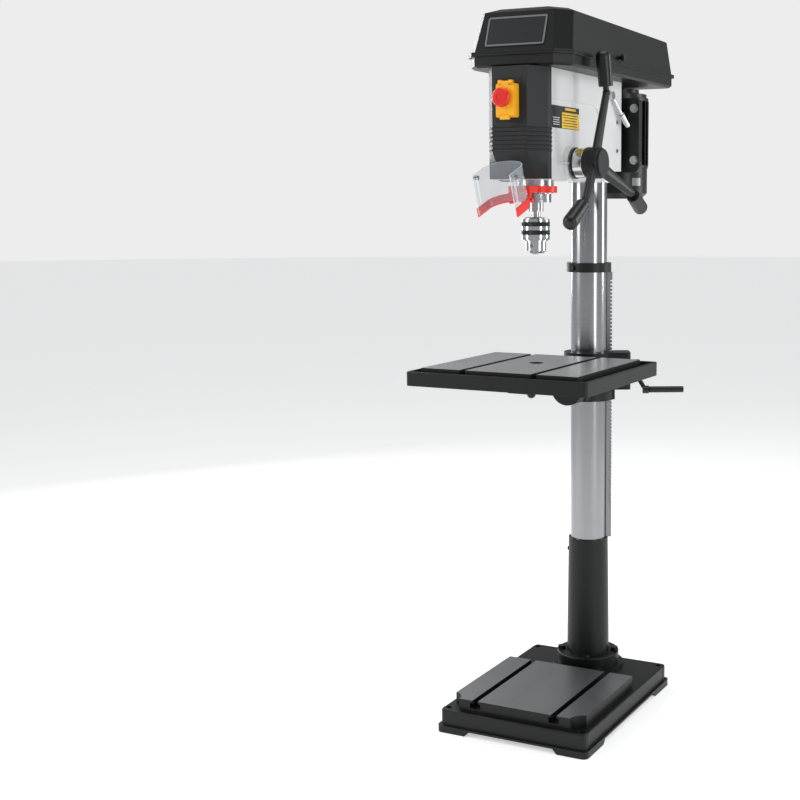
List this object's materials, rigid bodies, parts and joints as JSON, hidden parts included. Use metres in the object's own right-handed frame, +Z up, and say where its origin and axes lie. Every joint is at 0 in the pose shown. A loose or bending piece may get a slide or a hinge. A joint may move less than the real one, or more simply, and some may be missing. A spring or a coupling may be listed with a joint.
{
  "type": "floor drill press",
  "caption": "Floor-standing pillar drill with a geared rise-and-fall slotted table, belt-driven spindle, keyed chuck, feed levers and flip-up chuck guard.",
  "frame": {"origin": "on the column axis at the floor, on the underside of the base", "axes": "+Z up along the column, -Y towards the operator and the spindle, +X the feed-lever side"},
  "size_m": [0.4692, 0.7881, 1.7027],
  "materials": {
    "cast_black": "satin black texture paint over cast iron",
    "ground_table": "ground top face, satin black paint elsewhere",
    "ground_base": "ground island, satin black paint elsewhere",
    "column_steel": "polished turned tube",
    "rack_steel": "milled steel",
    "head_paint": "light grey gloss paint",
    "shroud_plastic": "fine textured black plastic",
    "cover_plastic": "black vacuum formed plastic",
    "badge": "plain smooth badge",
    "zinc": "zinc plated",
    "black_steel": "black oxide",
    "machined": "turned and ground steel",
    "chrome": "polished chrome",
    "aluminium": "cast and turned aluminium",
    "rubber_belt": "V belt rubber",
    "switch_yellow": "moulded yellow plastic",
    "stop_red": "moulded red plastic",
    "start_green": "moulded green plastic",
    "guard_red": "moulded red plastic",
    "clear_sheet": "clear polycarbonate",
    "grip_plastic": "moulded black plastic",
    "motor_paint": "satin black motor paint"
  },
  "bodies": {
    "stand": {"base_casting": "ground_base", "column_foot": "cast_black", "foot_bolts": "zinc", "stand_screws": "zinc", "column_tube": "column_steel", "rack_ring": "cast_black", "head_casting": "head_paint", "head_set_screws": "zinc", "nose_collar": "machined", "front_shroud": "shroud_plastic", "switch_plate": "shroud_plastic", "switch_body": "switch_yellow", "cover_tray": "cover_plastic", "lid_hinge_pins": "zinc", "idler_post": "aluminium", "drive_belts": "rubber_belt", "sleeve_bearings": "machined", "guard_ring": "guard_red", "spring_housing": "black_steel", "return_spring": "machined"},
    "rack": {"column_rack": "rack_steel"},
    "bracket": {"table_bracket": "cast_black", "tilt_bolt": "zinc"},
    "table": {"table_casting": "ground_table"},
    "bracket_clamp": {"table_clamp": "black_steel"},
    "pinion": {"lift_pinion": "black_steel"},
    "crank": {"lift_worm": "black_steel", "crank_arm": "black_steel"},
    "crank_handle": {"crank_grip": "grip_plastic"},
    "lid": {"cover_lid": "cover_plastic", "badge_plate": "badge"},
    "drive": {"drive_sleeve": "aluminium", "spindle_pulley": "aluminium"},
    "idler": {"idler_pulley": "aluminium"},
    "motor": {"motor_body": "motor_paint", "fan_cover": "motor_paint", "motor_mount": "motor_paint", "motor_bolts": "zinc"},
    "rotor": {"motor_rotor": "machined", "motor_pulley": "aluminium"},
    "tension": {"tension_lever": "chrome"},
    "quill": {"quill": "machined", "spindle_bearings": "machined"},
    "spindle": {"spindle": "machined", "chuck_body": "chrome"},
    "chuck_ring": {"chuck_sleeve": "chrome"},
    "jaw_1": {"chuck_jaw_1": "machined"},
    "jaw_2": {"chuck_jaw_2": "machined"},
    "jaw_3": {"chuck_jaw_3": "machined"},
    "feed": {"pinion_shaft": "machined", "feed_hub": "cast_black", "feed_levers": "cast_black", "lever_grips": "grip_plastic"},
    "scale": {"depth_scale": "machined"},
    "lock": {"quill_lock": "black_steel"},
    "guard": {"guard_band": "guard_red", "guard_shield": "clear_sheet"},
    "flap": {"stop_flap": "switch_yellow"},
    "start": {"start_button": "start_green"},
    "stop": {"stop_button": "stop_red"}
  },
  "joints": [
    {"name": "table_swing", "type": "hinge", "parent": "stand", "child": "rack", "pos_m": [0, 0, 0.75], "axis": [0, 0, 1], "continuous": true},
    {"name": "table_height", "type": "slide", "parent": "rack", "child": "bracket", "axis": [0, 0, -1], "range_m": [-0.18, 0.31]},
    {"name": "lift_pinion_turn", "type": "hinge", "parent": "bracket", "child": "pinion", "pos_m": [0.0656, 0.03488, 0.82987], "axis": [-0.4695, 0.8829, 0], "range_deg": [-600, 1100]},
    {"name": "crank_turn", "type": "hinge", "parent": "bracket", "child": "crank", "pos_m": [0.07687, 0.01369, 0.86137], "axis": [0.8829, 0.4695, 0], "range_deg": [-7000, 12800]},
    {"name": "crank_grip_spin", "type": "hinge", "parent": "crank", "child": "crank_handle", "pos_m": [0.19546, 0.03711, 0.80075], "axis": [0.8829, 0.4695, 0], "continuous": true},
    {"name": "table_tilt", "type": "hinge", "parent": "bracket", "child": "table", "pos_m": [0, -0.2, 0.812], "axis": [0, 1, 0], "range_deg": [-45, 45]},
    {"name": "table_clamp_turn", "type": "hinge", "parent": "bracket", "child": "bracket_clamp", "pos_m": [-0.08, 0, 0.835], "axis": [0, 1, 0], "range_deg": [-40, 50]},
    {"name": "lid_hinge", "type": "hinge", "parent": "stand", "child": "lid", "pos_m": [-0.138, 0, 1.6], "axis": [0, -1, 0], "range_deg": [0, 95]},
    {"name": "motor_slide", "type": "slide", "parent": "stand", "child": "motor", "axis": [0, -1, 0], "range_m": [0, 0.012]},
    {"name": "tension_turn", "type": "hinge", "parent": "stand", "child": "tension", "pos_m": [0.07, -0.035, 1.532], "axis": [1, 0, 0], "range_deg": [-65, 2]},
    {"name": "motor_spin", "type": "hinge", "parent": "motor", "child": "rotor", "pos_m": [0, 0.182, 1.5], "axis": [0, 0, 1], "continuous": true},
    {"name": "idler_spin", "type": "hinge", "parent": "stand", "child": "idler", "pos_m": [0, -0.095, 1.6], "axis": [0, 0, 1], "continuous": true},
    {"name": "drive_spin", "type": "hinge", "parent": "stand", "child": "drive", "pos_m": [0, -0.305, 1.6], "axis": [0, 0, 1], "continuous": true},
    {"name": "quill_feed", "type": "slide", "parent": "stand", "child": "quill", "axis": [0, 0, -1], "range_m": [0, 0.12], "stiffness_N_per_m": 500, "springref_m": -0.24},
    {"name": "spindle_spin", "type": "hinge", "parent": "quill", "child": "spindle", "pos_m": [0, -0.305, 1.3], "axis": [0, 0, 1], "continuous": true},
    {"name": "chuck_ring_turn", "type": "hinge", "parent": "spindle", "child": "chuck_ring", "pos_m": [0, -0.305, 1.21], "axis": [0, 0, 1], "range_deg": [0, 2160]},
    {"name": "feed_turn", "type": "hinge", "parent": "stand", "child": "feed", "pos_m": [0, -0.261, 1.362], "axis": [1, 0, 0], "range_deg": [0, 430]},
    {"name": "depth_scale_turn", "type": "hinge", "parent": "stand", "child": "scale", "pos_m": [0.082, -0.261, 1.362], "axis": [1, 0, 0], "continuous": true},
    {"name": "quill_lock_turn", "type": "hinge", "parent": "stand", "child": "lock", "pos_m": [-0.067, -0.305, 1.43], "axis": [1, 0, 0], "range_deg": [-30, 60]},
    {"name": "guard_flip", "type": "hinge", "parent": "stand", "child": "guard", "pos_m": [0, -0.385, 1.277], "axis": [1, 0, 0], "range_deg": [0, 160]},
    {"name": "stop_flap_hinge", "type": "hinge", "parent": "stand", "child": "flap", "pos_m": [0, -0.4535, 1.533], "axis": [-1, 0, 0], "range_deg": [0, 100]},
    {"name": "start_press", "type": "slide", "parent": "stand", "child": "start", "axis": [0, 1, 0], "range_m": [0, 0.0035], "stiffness_N_per_m": 600, "springref_m": -0.002},
    {"name": "stop_press", "type": "slide", "parent": "stand", "child": "stop", "axis": [0, 1, 0], "range_m": [0, 0.0035], "stiffness_N_per_m": 600, "springref_m": -0.002},
    {"name": "jaw_1_slide", "type": "slide", "parent": "spindle", "child": "jaw_1", "axis": [0, 0.2588, 0.9659], "range_m": [0, 0.024]},
    {"name": "jaw_2_slide", "type": "slide", "parent": "spindle", "child": "jaw_2", "axis": [-0.2241, -0.1294, 0.9659], "range_m": [0, 0.024]},
    {"name": "jaw_3_slide", "type": "slide", "parent": "spindle", "child": "jaw_3", "axis": [0.2241, -0.1294, 0.9659], "range_m": [0, 0.024]}
  ],
  "couplings": [
    {"joint": "lift_pinion_turn", "follows": "table_height", "rad_per_m": 55.556},
    {"joint": "crank_turn", "follows": "table_height", "rad_per_m": 666.67},
    {"joint": "feed_turn", "follows": "quill_feed", "rad_per_m": 62.5},
    {"joint": "tension_turn", "follows": "motor_slide", "rad_per_m": -89.286},
    {"joint": "idler_spin", "follows": "motor_spin", "ratio": 0.54717},
    {"joint": "drive_spin", "follows": "motor_spin", "ratio": 0.2994},
    {"joint": "spindle_spin", "follows": "motor_spin", "ratio": 0.2994},
    {"joint": "jaw_1_slide", "follows": "chuck_ring_turn", "m_per_rad": 0.00063662},
    {"joint": "jaw_2_slide", "follows": "chuck_ring_turn", "m_per_rad": 0.00063662},
    {"joint": "jaw_3_slide", "follows": "chuck_ring_turn", "m_per_rad": 0.00063662}
  ]
}
